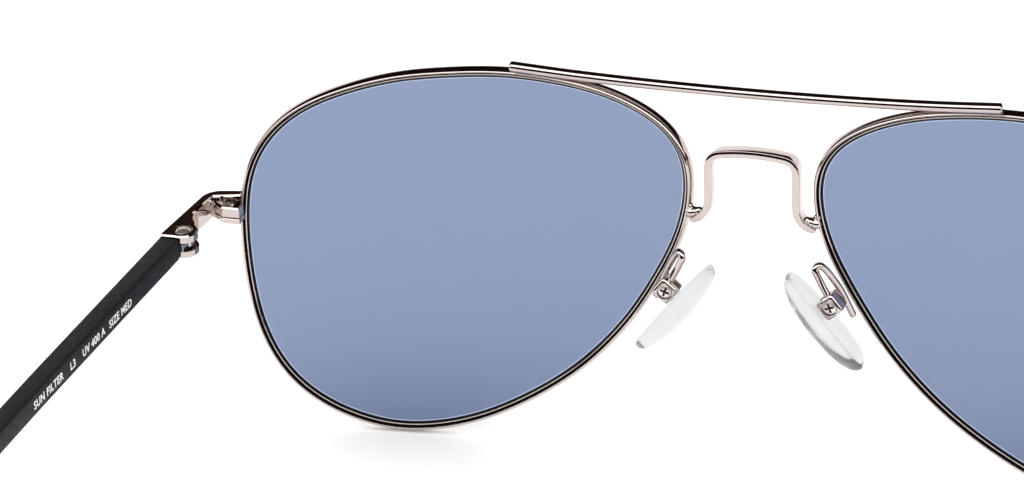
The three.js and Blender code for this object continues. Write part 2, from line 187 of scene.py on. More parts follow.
def add_world():
    """Even white light, with the dark and bright bands of STUDIO for what is mirrored."""
    world = bpy.data.worlds.new("studio")
    world.use_nodes = True
    tree = world.node_tree
    tree.nodes.clear()
    place = node(tree, "ShaderNodeTexCoord")
    axes = node(tree, "ShaderNodeSeparateXYZ")
    tree.links.new(place.outputs["Generated"], axes.inputs[0])
    turn = node(tree, "ShaderNodeMath", operation="ARCTAN2")
    tree.links.new(axes.outputs["Z"], turn.inputs[0])
    tree.links.new(axes.outputs["Y"], turn.inputs[1])
    share = ranged(tree, turn.outputs[0], -math.pi, math.pi, 0.0, 1.0)
    bands = node(tree, "ShaderNodeValToRGB")
    while len(bands.color_ramp.elements) < len(STUDIO):
        bands.color_ramp.elements.new(0.5)
    for stop, (degrees, colour, brightness) in zip(bands.color_ramp.elements, STUDIO):
        stop.position = (degrees + 180) / 360
        stop.color = (*[c * brightness / BRIGHTEST for c in colour], 1)
    tree.links.new(share, bands.inputs["Fac"])
    soft = node(tree, "ShaderNodeBackground", Color=(*WHITE, 1.0), Strength=SOFT_LIGHT)
    mirrored = node(tree, "ShaderNodeBackground", Strength=BRIGHTEST)
    tree.links.new(bands.outputs["Color"], mirrored.inputs["Color"])
    path = node(tree, "ShaderNodeLightPath")
    either = node(tree, "ShaderNodeMixShader")
    tree.links.new(path.outputs["Is Glossy Ray"], either.inputs[0])
    tree.links.new(soft.outputs[0], either.inputs[1])
    tree.links.new(mirrored.outputs[0], either.inputs[2])
    out = node(tree, "ShaderNodeOutputWorld")
    tree.links.new(either.outputs[0], out.inputs["Surface"])
    bpy.context.scene.world = world


def add_sheet(name, low, high, height, material):
    """A flat sheet of the stage between two corners, in metres."""
    mesh = bpy.data.meshes.new(name)
    corners = [(low[0], low[1]), (high[0], low[1]), (high[0], high[1]), (low[0], high[1])]
    mesh.from_pydata([(x, y, height) for x, y in corners], [], [(0, 1, 2, 3)])
    mesh.materials.append(material)
    made = bpy.data.objects.new(name, mesh)
    bpy.context.scene.collection.objects.link(made)
    return made


FLOOR_REACH = 4.0
FLOOR_GAP = 0.00002
CARD_START = 0.06
CARD_LIFT = 0.0001


def add_floor():
    """A pale floor, and a dark card on it near the tips that is seen only in mirrored light."""
    ground = cad_box[0][2] - FLOOR_GAP
    white = new_material("floor_white", Base_Color=(0.94, 0.94, 0.94, 1), Roughness=0.75,
                         Specular_IOR_Level=0.0)[0]
    add_sheet("floor", (-FLOOR_REACH, -FLOOR_REACH), (FLOOR_REACH, FLOOR_REACH), ground, white)
    black = new_material("card_black", Base_Color=(0.01, 0.007, 0.005, 1), Roughness=0.9,
                         Specular_IOR_Level=0.0)[0]
    card = add_sheet("card", (-FLOOR_REACH, CARD_START), (FLOOR_REACH, FLOOR_REACH),
                     ground + CARD_LIFT, black)
    card.visible_camera = False
    card.visible_diffuse = False
    card.visible_transmission = False
    card.visible_shadow = False


# ------------------------------------------------------------------ materials

def new_material(name, **inputs):
    """A material with shader inputs given by name, _ standing for a space."""
    made = bpy.data.materials.new(name)
    made.use_nodes = True
    shader = made.node_tree.nodes["Principled BSDF"]
    for key, value in inputs.items():
        shader.inputs[key.replace("_", " ")].default_value = value
    return made, made.node_tree, shader


def noise(tree, scale, detail=2.0):
    """Noise in the object's own metres."""
    place = node(tree, "ShaderNodeTexCoord")
    grain = node(tree, "ShaderNodeTexNoise", Scale=scale, Detail=detail)
    tree.links.new(place.outputs["Object"], grain.inputs["Vector"])
    return grain.outputs["Fac"]


def vary_colour(tree, shader, source, first, second):
    mix = node(tree, "ShaderNodeMix", data_type="RGBA")
    colour_inputs = [s for s in mix.inputs if s.type == "RGBA"]
    colour_inputs[0].default_value = (*first, 1)
    colour_inputs[1].default_value = (*second, 1)
    tree.links.new(source, mix.inputs[0])
    colour = next(s for s in mix.outputs if s.type == "RGBA")
    tree.links.new(colour, shader.inputs["Base Color"])


def vary_roughness(tree, shader, source, low, high):
    spread = ranged(tree, source, 0.3, 0.7, low, high, "SMOOTHSTEP")
    tree.links.new(spread, shader.inputs["Roughness"])


def add_bump(tree, shader, source, height, strength=1.0):
    bump = node(tree, "ShaderNodeBump", Strength=strength, Distance=height)
    tree.links.new(source, bump.inputs["Height"])
    tree.links.new(bump.outputs["Normal"], shader.inputs["Normal"])


def make_metal(name, bright, dull, low, high, wave):
    """Metal from bright to dull, with roughness from low to high and waves of that height."""
    made, tree, shader = new_material(name, Metallic=1.0)
    vary_colour(tree, shader, noise(tree, 900), bright, dull)
    vary_roughness(tree, shader, noise(tree, 2500, 4), low, high)
    add_bump(tree, shader, noise(tree, 420, 1), wave)
    return made


def make_glass():
    made, tree, shader = new_material("tinted_glass", Roughness=0.0, IOR=1.1,
                                      Transmission_Weight=1.0)
    vary_colour(tree, shader, noise(tree, 60), (0.202, 0.247, 0.360), (0.197, 0.242, 0.356))
    return made


def make_silicone():
    made, tree, shader = new_material("clear_silicone", IOR=1.2, Transmission_Weight=0.85)
    vary_colour(tree, shader, noise(tree, 500), (0.70, 0.70, 0.705), (0.62, 0.62, 0.63))
    vary_roughness(tree, shader, noise(tree, 1800, 3), 0.04, 0.12)
    add_bump(tree, shader, noise(tree, 700, 2), 0.00004, 0.5)
    return made


def make_plain(name, first, second, low, high, scale, grain, height, **inputs):
    """Two close colours, roughness from low to high, and grain of that scale and height."""
    made, tree, shader = new_material(name, **inputs)
    vary_colour(tree, shader, noise(tree, scale), first, second)
    vary_roughness(tree, shader, noise(tree, scale * 2, 3), low, high)
    add_bump(tree, shader, noise(tree, grain, 3), height, 0.6)
    return made


NICKEL = make_metal("polished_nickel", (0.55, 0.48, 0.455), (0.52, 0.45, 0.425),
                    0.03, 0.07, 0.000005)
STEEL = make_metal("screw_steel", (0.80, 0.75, 0.71), (0.72, 0.66, 0.62), 0.28, 0.38, 0.00001)
# Near-black colour for the rim's lens groove and seam and the pad screw's cross recess: painted
# shade in those crevices.
PAINTED_CREVICE_SHADE = make_plain("painted_crevice_shade", (0.003, 0.0025, 0.002), (0.006, 0.005, 0.004),
                     0.5, 0.7, 1500, 3000, 0.00001, Specular_IOR_Level=0.05)
GLASS = make_glass()
# Near-black colour for the lens's bevel in the rim's groove: painted shade in the gap between glass
# and rim.
PAINTED_EDGE_SHADE = make_plain("painted_lens_edge_shade", (0.006, 0.008, 0.012), (0.011, 0.014, 0.02),
                       0.4, 0.6, 1500, 5000, 0.00001)
# Pale blue colour for a thin ring of the lens's rear chamfer: a painted highlight.
PAINTED_GLINT = make_plain("painted_chamfer_glint", (0.50, 0.58, 0.78), (0.42, 0.50, 0.70),
                   0.1, 0.2, 900, 4000, 0.000002)
SILICONE = make_silicone()
SLEEVE = make_plain("black_sleeve", (0.0098, 0.0098, 0.0085), (0.0072, 0.0072, 0.0072),
                    0.42, 0.56, 700, 6000, 0.000015, Specular_IOR_Level=0.15)
CORE = make_metal("core_steel", (0.60, 0.60, 0.60), (0.50, 0.50, 0.51), 0.25, 0.4, 0.00001)
INK = make_plain("white_print", (0.78, 0.78, 0.76), (0.66, 0.66, 0.65),
                 0.4, 0.6, 2500, 6000, 0.000005)


# ------------------------------------------------------------------ shapes

class Shape:
    """Corners in millimetres, faces as corner numbers, and a material number for each face."""

    def __init__(self, points, faces, kinds=None):
        self.points = rows(points)
        self.faces = [tuple(f) for f in faces]
        self.kinds = list(kinds) if kinds is not None else [0] * len(self.faces)

    def moved(self, change):
        return Shape(change(self.points), self.faces, self.kinds)

    def outward(self):
        """The same shape with its faces pointing out."""
        volume = 0.0
        for face in self.faces:
            first = self.points[face[0]]
            for b, c in zip(face[1:-1], face[2:]):
                volume += float(np.dot(first, np.cross(self.points[b], self.points[c])))
        if volume >= 0:
            return self
        return Shape(self.points, [f[::-1] for f in self.faces], self.kinds)


def joined(*shapes):
    points, faces, kinds, count = [], [], [], 0
    for shape in shapes:
        points.append(shape.points)
        faces += [tuple(i + count for i in f) for f in shape.faces]
        kinds += shape.kinds
        count += len(shape.points)
    return Shape(np.concatenate(points), faces, kinds)


def grid(rings, along=False, kinds=None):
    """Rings of corners joined ring to ring. along also joins the last ring to the first."""
    rings = np.asarray(rings, float)
    count, width = rings.shape[:2]
    faces, marks = [], []
    for i in range(count if along else count - 1):
        for j in range(width):
            a, b = i, (i + 1) % count
            c, d = j, (j + 1) % width
            faces.append((a * width + c, b * width + c, b * width + d, a * width + d))
            marks.append(kinds[j] if kinds else 0)
    return Shape(rings.reshape(-1, 3), faces, marks)


def capped(shape, width):
    """Closes the first and last ring of a grid with a flat face."""
    total = len(shape.points)
    shape.faces += [tuple(range(width)), tuple(range(total - 1, total - width - 1, -1))]
    shape.kinds += [0, 0]
    return shape


def reach_along(line):
    """The distance along a line to each of its points."""
    steps = np.linalg.norm(np.diff(line, axis=0), axis=1)
    return np.concatenate([[0], np.cumsum(steps)])


def read_off(places, reach, table):
    """Rows of a table at places along a line, between the rows that stand at reach."""
    return np.stack([np.interp(places, reach, column) for column in table.T], 1)


def resampled(line, count):
    reach = reach_along(line)
    return read_off(np.linspace(0, reach[-1], count), reach, line)


def cubic(p1, p2, m1, m2, count):
    """Points of a cubic from p1 to p2 with slopes m1 and m2, without the last one."""
    t = np.linspace(0, 1, count, endpoint=False)[:, None]
    return ((2 * t**3 - 3 * t**2 + 1) * p1 + (t**3 - 2 * t**2 + t) * m1
            + (3 * t**2 - 2 * t**3) * p2 + (t**3 - t**2) * m2)


def smooth_route(points, count):
    """Evenly spaced points of a centripetal Catmull-Rom curve."""
    knots = rows(points)
    knots = np.concatenate([[2 * knots[0] - knots[1]], knots, [2 * knots[-1] - knots[-2]]])
    fine = []
    for p0, p1, p2, p3 in zip(knots, knots[1:], knots[2:], knots[3:]):
        d0, d1, d2 = [math.sqrt(np.linalg.norm(b - a)) for a, b in ((p0, p1), (p1, p2), (p2, p3))]
        m1 = ((p1 - p0) / d0 - (p2 - p0) / (d0 + d1) + (p2 - p1) / d1) * d1
        m2 = ((p2 - p1) / d1 - (p3 - p1) / (d1 + d2) + (p3 - p2) / d2) * d1
        fine.append(cubic(p1, p2, m1, m2, 60))
    fine = np.concatenate(fine + [knots[-2:-1]])
    return resampled(fine, count)


def unit(vectors):
    return vectors / np.linalg.norm(vectors, axis=-1)[..., None]


def directions(line):
    return unit(np.gradient(line, axis=0))


def round_rectangle(width, height, corner, steps=6):
    """Outline of a rounded rectangle, anticlockwise from its lower right corner."""
    outline = []
    for k, (sx, sy) in enumerate(((1, -1), (1, 1), (-1, 1), (-1, -1))):
        for step in range(steps + 1):
            angle = math.radians(-90 + 90 * k + 90 * step / steps)
            outline.append((sx * (width / 2 - corner) + corner * math.cos(angle),
                            sy * (height / 2 - corner) + corner * math.sin(angle)))
    return np.array(outline)


def circle(radius, sides):
    angles = np.arange(sides) / sides * 2 * math.pi
    return np.stack([radius * np.cos(angles), radius * np.sin(angles)], 1)


def sweep(line, section, across, scales=None):
    """Section drawn along a line. across gives the section's first axis at each point of the line;
    its second axis is across x along. scales shrinks the section point by point."""
    along = directions(line)
    across = unit(across - along * np.sum(across * along, 1)[:, None])
    second = np.cross(across, along)
    scales = np.ones(len(line)) if scales is None else scales
    rings = (line[:, None] + scales[:, None, None]
             * (across[:, None] * section[None, :, :1] + second[:, None] * section[None, :, 1:]))
    return capped(grid(rings), len(section))


SMALLEST_END = 0.02  # share of the section that is left at a rounded end


def round_ends(line, radius, first=True, last=True, steps=6, spacing=0.25):
    """The line with extra points at its ends and the scales that round the ends off."""
    reach = reach_along(line)
    total = reach[-1]
    bends = [radius * (1 - math.cos(math.radians(90 * k / steps))) for k in range(steps)]
    places = list(np.arange(radius if first else 0, total - (radius if last else 0), spacing))
    if first:
        places = bends + places
    if last:
        places = places + [total - b for b in reversed(bends)]
    else:
        places.append(total)
    places = np.array(sorted(set(places)))
    ends = np.ones(len(places))
    for here, on in ((places, first), (total - places, last)):
        if on:
            share = np.clip(here / radius, 0, 1)
            ends *= np.sqrt(np.clip(1 - (1 - share) ** 2, SMALLEST_END**2, 1))
    return read_off(places, reach, line), ends


def rounded(corners):
    """Plan outline with its corners rounded: each corner is (x, y, radius)."""
    step_angle = math.radians(9)
    count, outline = len(corners), []
    for k, (x, y, radius) in enumerate(corners):
        here = np.array((x, y), float)
        to_last = unit(np.array(corners[k - 1][:2], float) - here)
        to_next = unit(np.array(corners[(k + 1) % count][:2], float) - here)
        if radius == 0:
            outline.append(here)
            continue
        half = math.acos(max(-1.0, min(1.0, float(np.dot(to_last, to_next))))) / 2
        centre = here + unit(to_last + to_next) * radius / math.sin(half)
        start = here + to_last * radius / math.tan(half) - centre
        end = here + to_next * radius / math.tan(half) - centre
        a, b = math.atan2(start[1], start[0]), math.atan2(end[1], end[0])
        b = a + (b - a + math.pi) % (2 * math.pi) - math.pi
        steps = max(2, int(abs(b - a) / step_angle))
        for step in range(steps + 1):
            angle = a + (b - a) * step / steps
            outline.append(centre + radius * np.array((math.cos(angle), math.sin(angle))))
    return np.array(outline)


def arc(x, y, radius, start, end, steps=28):
    angles = np.radians(np.linspace(start, end, steps))
    return np.stack([x + radius * np.cos(angles), y + radius * np.sin(angles)], 1)


def prism(outline, bottom, top):
    rings = [np.column_stack([outline, np.full(len(outline), z)]) for z in (bottom, top)]
    return capped(grid(rings), len(outline)).outward()


CHAMFER_SLOPE = 0.66  # how far a chamfer goes in for its height
SHARP_CORNER = 1.2  # squared sum of two edges' normals below which a mitre is cut short


def edged_prism(outline, bottom, top, reach):
    """A prism with chamfers of height reach along its upper and lower edges."""
    after = unit(np.roll(outline, -1, 0) - outline)
    normals = np.stack([after[:, 1], -after[:, 0]], 1)
    normals *= np.sign(np.sum(outline[:, 0] * np.roll(outline[:, 1], -1)
                              - np.roll(outline[:, 0], -1) * outline[:, 1]))
    mitre = normals + np.roll(normals, 1, 0)
    mitre /= np.maximum(np.sum(mitre * mitre, 1), SHARP_CORNER)[:, None] / 2
    inner = outline - mitre * reach * CHAMFER_SLOPE
    levels = ((inner, bottom), (outline, bottom + reach), (outline, top - reach), (inner, top))
    rings = [np.column_stack([ring, np.full(len(ring), height)]) for ring, height in levels]
    return capped(grid(rings), len(outline)).outward()


def upright(x, y, radius, bottom, top, sides=40):
    return prism(circle(radius, sides) + (x, y), bottom, top)


def block(low, high):
    corners = [(low[0], low[1]), (high[0], low[1]), (high[0], high[1]), (low[0], high[1])]
    return prism(np.array(corners), low[2], high[2])


def lathe(profile, sides=48):
    """Turned about Z: profile is (radius, height), starting and ending on the axis."""
    inner = profile[1:-1]
    angles = np.arange(sides) / sides * 2 * math.pi
    made = grid([np.stack([r * np.cos(angles), r * np.sin(angles), np.full(sides, z)], 1)
                 for r, z in inner])
    count = len(made.points)
    points = np.concatenate([made.points, [(0, 0, profile[0][1]), (0, 0, profile[-1][1])]])
    last = (len(inner) - 1) * sides
    for j in range(sides):
        k = (j + 1) % sides
        made.faces += [(count, k, j), (count + 1, last + j, last + k)]
    return Shape(points, made.faces).outward()


def welded(shape):
    """The same shape with corners that lie on each other made one."""
    seen, order, points = {}, [], []
    for point in shape.points:
        key = tuple(np.round(point, 5))
        if key not in seen:
            seen[key] = len(points)
            points.append(point)
        order.append(seen[key])
    return Shape(points, [tuple(order[i] for i in face) for face in shape.faces], shape.kinds)


def bare_object(shape, name="scratch"):
    mesh = bpy.data.meshes.new(name)
    mesh.from_pydata(shape.points.tolist(), [], shape.faces)
    mesh.polygons.foreach_set("material_index", shape.kinds)
    made = bpy.data.objects.new(name, mesh)
    bpy.context.scene.collection.objects.link(made)
    return made


def taken(made):
    """The evaluated mesh of a scratch object as a Shape; the object is removed."""
    graph = bpy.context.evaluated_depsgraph_get()
    graph.update()
    evaluated = made.evaluated_get(graph)
    mesh = evaluated.to_mesh()
    points = np.zeros(len(mesh.vertices) * 3)
    mesh.vertices.foreach_get("co", points)
    faces = [tuple(p.vertices) for p in mesh.polygons]
    kinds = [p.material_index for p in mesh.polygons]
    evaluated.to_mesh_clear()
    data = made.data
    bpy.data.objects.remove(made)
    bpy.data.meshes.remove(data)
    return Shape(points.reshape(-1, 3), faces, kinds)


def carved(shape, *changes):
    """Joins or cuts with each ("UNION" or "DIFFERENCE", other shape) in turn."""
    for operation, other in changes:
        body, tool = bare_object(shape.outward()), bare_object(other.outward())
        change = body.modifiers.new("change", "BOOLEAN")
        change.object = tool
        change.operation = operation
        change.solver = "EXACT"
        shape = taken(body)
        data = tool.data
        bpy.data.objects.remove(tool)
        bpy.data.meshes.remove(data)
    return shape


def melted(shape, voxel, rounds):
    """One skin around overlapping solids, with its joints and edges softened."""
    made = bare_object(shape)
    skin = made.modifiers.new("skin", "REMESH")
    skin.mode = "VOXEL"
    skin.voxel_size = voxel
    soft = made.modifiers.new("soft", "SMOOTH")
    soft.factor = 0.5
    soft.iterations = rounds
    return taken(made)


def add_piece(name, body, shape, place, side, materials, stands_for=(), bevel=0.0,
              sharp=40):
    """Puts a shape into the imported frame's axes in metres and hangs it on its body."""
    points = place(shape.points)
    if side < 0:
        points = points * (-1, 1, 1)
    shape = Shape((points + SHIFT) * MM, shape.faces, shape.kinds).outward()
    made = bare_object(shape, name)
    mesh = made.data
    for material in materials:
        mesh.materials.append(material)
    mesh.polygons.foreach_set("use_smooth", [True] * len(mesh.polygons))
    mesh.set_sharp_from_angle(angle=math.radians(sharp))
    if bevel:
        edge = made.modifiers.new("edge", "BEVEL")
        edge.width = bevel * MM
        edge.segments = 3
        edge.limit_method = "ANGLE"
        edge.angle_limit = math.radians(32)
        edge.harden_normals = True
        edge.miter_outer = "MITER_ARC"
        even = made.modifiers.new("even", "WEIGHTED_NORMAL")
        even.keep_sharp = False
        even.weight = 80
    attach(made, body)
    if stands_for:
        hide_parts(*stands_for)
    return made


SIDES = ((1, "left"), (-1, "right"))


# ------------------------------------------------------------------ lens and rim

LENS_CENTRE_X = 36.5
BASE_RADIUS = 115.0  # of the spheres that the lenses are cut from
LENS_OUTLINE = [
    (27.05, 6.65), (21.55, 13.9), (11.6, 18.35), (1.6, 20.25),
    (-8.25, 20.85), (-19.6, 19.3), (-27.15, 14.25), (-27.45, 4.85),
    (-22.35, -6.05), (-16.3, -14), (-8.85, -20.15), (0.7, -24.85),
    (10.85, -25.95), (20.3, -22.3), (25.85, -15.1), (28.05, -4),
]
GROOVE_CENTRE = -0.25  # depth of the middle of the lens's edge
RIM_STATIONS = 288
FINE_STATIONS = 2 * RIM_STATIONS
FINEST_WAVE = 15.0  # waves round the outline that are finer than this are smoothed away


def lens_edge():
    """Evenly spaced points of the glass's edge and their outward normals, with no kinks.
    Both are complex numbers, x + i z."""
    knots = np.array(LENS_OUTLINE)
    count = len(knots)
    fine = []
    for k in range(count):
        p0, p1, p2, p3 = [knots[(k + step) % count] for step in (-1, 0, 1, 2)]
        fine.append(cubic(p1, p2, (p2 - p0) / 2, (p3 - p1) / 2, 40))
    line = np.concatenate(fine)
    line = resampled(np.concatenate([line, line[:1]]), FINE_STATIONS + 1)[:-1]
    waves = np.fft.fft(line[:, 0] + 1j * line[:, 1])
    turns = np.fft.fftfreq(len(waves), 1 / len(waves))
    waves *= np.exp(-(turns / FINEST_WAVE) ** 6)
    line = np.fft.ifft(waves)
    slope = np.fft.ifft(1j * turns * waves)
    outward = -1j * slope / np.abs(slope)
    keep = FINE_STATIONS // RIM_STATIONS
    return line[::keep], outward[::keep]


EDGE, EDGE_OUT = lens_edge()


def on_lens(share, offset, depth):
    """Ring of points: a share of the outline, moved out by offset, and depth behind the lens's
    middle surface."""
    flat = EDGE * share + EDGE_OUT * offset
    u, v = flat.real, flat.imag
    shrink = 1 - depth / BASE_RADIUS
    reach = np.sqrt(BASE_RADIUS**2 - u * u - v * v)
    ring = np.stack([u * shrink, BASE_RADIUS - reach * shrink, v * shrink], 1)
    return about_z(ring, WRAP) + (LENS_CENTRE_X, 0, 0)


def rim_shape():
    """The wire: a groove for the lens, a crowned body, a seam and a thin rear lip; the faces of the
    groove and seam are coloured near black as painted shade. The section is (offset from the glass's
    edge, depth, 0 for metal or 1 for painted shade)."""
    section = [
        (0.0, 0.10, 1), (0.28, -0.03, 1), (0.55, -0.17, 1), (0.55, -0.33, 1), (0.28, -0.47, 1),
        (0.0, -0.60, 0), (0.0, -0.66, 0), (0.04, -0.74, 0), (0.13, -0.79, 0), (0.26, -0.80, 0),
        (0.45, -0.795, 0), (0.58, -0.77, 0), (0.69, -0.71, 0), (0.78, -0.61, 0), (0.84, -0.47, 0),
        (0.865, -0.30, 0), (0.87, -0.10, 0), (0.87, 0.10, 0), (0.865, 0.25, 0), (0.85, 0.38, 0),
        (0.825, 0.49, 0), (0.79, 0.59, 0), (0.745, 0.67, 0), (0.695, 0.73, 0), (0.645, 0.77, 0),
        (0.60, 0.79, 0), (0.56, 0.795, 0), (0.53, 0.78, 0), (0.51, 0.74, 1), (0.50, 0.62, 1),
        (0.48, 0.42, 1), (0.42, 0.28, 1), (0.34, 0.24, 1), (0.27, 0.27, 1), (0.235, 0.38, 1),
        (0.225, 0.45, 0), (0.20, 0.495, 0), (0.155, 0.515, 0), (0.105, 0.515, 0), (0.06, 0.495, 0),
        (0.035, 0.455, 1), (0.02, 0.40, 1),
    ]
    rings = np.stack([on_lens(1, offset, depth) for offset, depth, _ in section], 1)
    return grid(rings, along=True, kinds=[mark for _, _, mark in section])


def dish(depth):
    """Rings of one polished face from near its edge inwards, with fewer and fewer points."""
    steps = ((0.93, 1), (0.84, 2), (0.72, 2), (0.6, 4), (0.46, 4), (0.33, 8), (0.2, 8), (0.1, 16),
             (0.03, 16))
    return [on_lens(share, 0.0, depth)[::step] for share, step in steps]


def stitched(rings):
    """Joins each ring to the next, which has as many points or half as many, and closes the last."""
    faces, start = [], 0
    for outer, inner in zip(rings, rings[1:]):
        n, m = len(outer), len(inner)
        for j in range(m):
            a, b = start + n + j, start + n + (j + 1) % m
            if n == m:
                faces.append((start + j, start + (j + 1) % n, b, a))
            else:
                middle = start + 2 * j + 1
                faces += [(start + 2 * j, middle, a), (middle, start + (2 * j + 2) % n, b, a)]
        start += n
    faces.append(tuple(range(start, start + len(rings[-1]))))
    return Shape(np.concatenate(rings), faces)


def lens_shape():
    """The pane: two polished faces, a bevel in the groove coloured near black as painted shade, and
    a rear chamfer with a pale ring as a painted highlight. The border is (offset from the glass's
    edge, depth, 0 for glass, 1 painted shade or 2 painted highlight)."""
    front, back, edge = -0.44, 0.55, -0.10
    margin, bevel = -1.2, 0.40
    border = [
        (margin, front, 0), (edge - 0.14, front, 0), (edge - 0.02, front + 0.04, 0),
        (edge, -0.37, 1), (edge, -0.30, 1), (bevel, -0.05, 1), (bevel, 0.05, 1), (edge, 0.30, 1),
        (edge, 0.49, 1), (edge - 0.04, back - 0.02, 1), (edge - 0.20, back, 2),
        (edge - 0.28, back, 0), (margin, back, 0),
    ]
    rings = [on_lens(1, offset, depth + GROOVE_CENTRE) for offset, depth, _ in border]
    band = grid(rings)
    band.kinds = [mark for _, _, mark in border[:-1] for _ in range(RIM_STATIONS)]
    before = stitched([rings[0]] + dish(front + GROOVE_CENTRE))
    behind = stitched([rings[-1]] + dish(back + GROOVE_CENTRE))
    behind.faces = [face[::-1] for face in behind.faces]
    return welded(joined(band, before, behind))


# ------------------------------------------------------------------ bars

TOP_BAR = [(0, 2.4, 21.3), (12, 2.6, 21.5), (22, 3.1, 22.0), (30.2, 3.5, 22.6)]
BRIDGE = [
    (0, 14.1), (2.9, 13.93), (4.55, 13.6), (5.15, 13.05), (5.38, 12.2), (5.42, 8.2), (5.6, 6.8),
    (6.3, 5.75), (7.2, 5.05), (7.75, 4.85),
]
BRIDGE_Y = 3.15
TOP_BAR_RADIUS = 0.68
BRIDGE_DEPTH = 2.0
BRIDGE_THICKNESS = 0.95
BRIDGE_TAPER = 1.6
FOOT_SHARE = 0.45


def both_halves(half):
    """A route across the middle, from the points of its left half."""
    return [(-p[0], *p[1:]) for p in half[:0:-1]] + list(half)


def top_bar_shape():
    """A round wire with blunt, rounded ends."""
    line = smooth_route(both_halves(TOP_BAR), 400)
    line, scales = round_ends(line, 0.42)
    scales = np.where(scales < 1, 0.35 + 0.65 * scales, 1)
    across = np.tile((0.0, 1.0, 0.0), (len(line), 1))
    return sweep(line, circle(TOP_BAR_RADIUS, 28), across, scales)


def bridge_shape():
    """A flat strip with crisp edges, its feet drawn out thin where they meet the rims."""
    line = smooth_route(both_halves([(x, BRIDGE_Y, z) for x, z in BRIDGE]), 301)
    section = round_rectangle(BRIDGE_DEPTH, BRIDGE_THICKNESS, 0.13, 4)
    reach = reach_along(line)
    to_end = np.minimum(reach, reach[-1] - reach)
    scales = FOOT_SHARE + (1 - FOOT_SHARE) * np.clip(to_end / BRIDGE_TAPER, 0, 1) ** 0.7
    return sweep(line, section, np.tile((0.0, 1.0, 0.0), (len(line), 1)), scales)


def ball(centre, radius):
    rings = 10
    profile = [(radius * math.sin(math.pi * k / rings), -radius * math.cos(math.pi * k / rings))
               for k in range(rings + 1)]
    return lathe(profile, 20).moved(lambda p: p + centre)


def solder_shape():
    """A bead of solder between a foot of the bridge and the rim: balls (x, y, z, radius)."""
    balls = [
        (7.75, 3.2, 5.8, 0.75), (7.2, 3.2, 5.9, 0.65), (6.7, 3.2, 6.1, 0.5), (7.9, 3.2, 6.6, 0.5),
    ]
    beads = joined(*[ball(np.array(centre), radius) for *centre, radius in balls])
    return melted(beads, voxel=0.06, rounds=24)


# ------------------------------------------------------------------ end piece and hinge

HINGE_BORE = 0.65
COUNTERSINK = 1.2
STRIP_BOTTOM, STRIP_TOP = 0.15, 3.2
STRIP_CHAMFER = 0.2
GAP_BOTTOM, GAP_TOP = 1.05, 2.2  # between the outer knuckles
KNUCKLE_BOTTOM, KNUCKLE_TOP = 1.15, 2.1  # of the temple's knuckle in that gap
COUNTERSINK_FLOOR = 2.72
LOCK_BOTTOM, LOCK_TOP = 1.45, 2.95
POCKET_FLOOR = 2.15
PLATE_BOTTOM, PLATE_TOP = 0.75, 1.42
FAR = 4.2  # above or below every solid of the end piece


def end_piece_shape():
    """The strip that bends back from the rim and ends in two knuckles, with the upper half of the
    rim lock and its pocket behind it."""
    hinge_x, hinge_y, _ = HINGE
    lug = arc(hinge_x, hinge_y, 1.85, 76, 228)
    wall = np.array((69.33, 9.9))
    elbow = np.array((68.75, 11.7))
    t = np.linspace(0, 1, 14)[1:, None]
    neck = (1 - t) ** 2 * lug[-1] + 2 * t * (1 - t) * elbow + t**2 * wall
    plan = np.concatenate([
        rounded([(65.3, 2.8, 0), (69.735, 3.595, 2.6), (71.35, 16.4, 0)]),
        lug, neck, rounded([(69.3, 9.6, 0), (68.646, 4.972, 0.3), (65.3, 4.05, 0)]),
    ])
    gap = prism(np.array([(70.4, 17.4), (66.4, 17.4), (66.4, 9.8), (69.3, 9.8), (70.4, 11.8)]),
                GAP_BOTTOM, GAP_TOP)
    lock = edged_prism(rounded([
        (64.35, 5.55, 0.2), (65.95, 5.55, 0), (65.95, 3.6, 0.2), (68.5, 3.8, 0.2), (68.95, 5.2, 0.2),
        (68.93, 5.65, 0.2), (68.2, 6.0, 0.25), (66.65, 7.3, 0.3), (64.35, 7.3, 0.2),
    ]), LOCK_BOTTOM, LOCK_TOP, STRIP_CHAMFER)
    pocket = prism(rounded([
        (64.65, 5.85, 0.1), (65.55, 5.85, 0), (65.55, 4.6, 0.15), (67.75, 4.6, 0.25),
        (67.95, 5.8, 0.25), (66.6, 7.0, 0.25), (64.65, 7.0, 0.2),
    ]), POCKET_FLOOR, FAR)
    return carved(
        edged_prism(plan, STRIP_BOTTOM, STRIP_TOP, STRIP_CHAMFER),
        ("UNION", lock),
        ("DIFFERENCE", gap),
        ("DIFFERENCE", pocket),
        ("DIFFERENCE", upright(hinge_x, hinge_y, COUNTERSINK, COUNTERSINK_FLOOR, FAR)),
        ("DIFFERENCE", upright(hinge_x, hinge_y, HINGE_BORE, -FAR, FAR)),
        ("DIFFERENCE", upright(*LOCK_SCREW, 0.6, -FAR, FAR)),
    )


def lock_plate_shape():
    """The lower half of the rim lock, with the hole for its screw."""
    plate = edged_prism(rounded([
        (64.35, 5.55, 0.1), (65.7, 5.55, 0), (65.7, 5.05, 0), (68.3, 5.05, 0), (68.2, 6.0, 0.25),
        (66.65, 7.3, 0.3), (64.35, 7.3, 0.15),
    ]), PLATE_BOTTOM, PLATE_TOP, 0.06)
    return carved(plate, ("DIFFERENCE", upright(*LOCK_SCREW, 0.55, -FAR, FAR)))


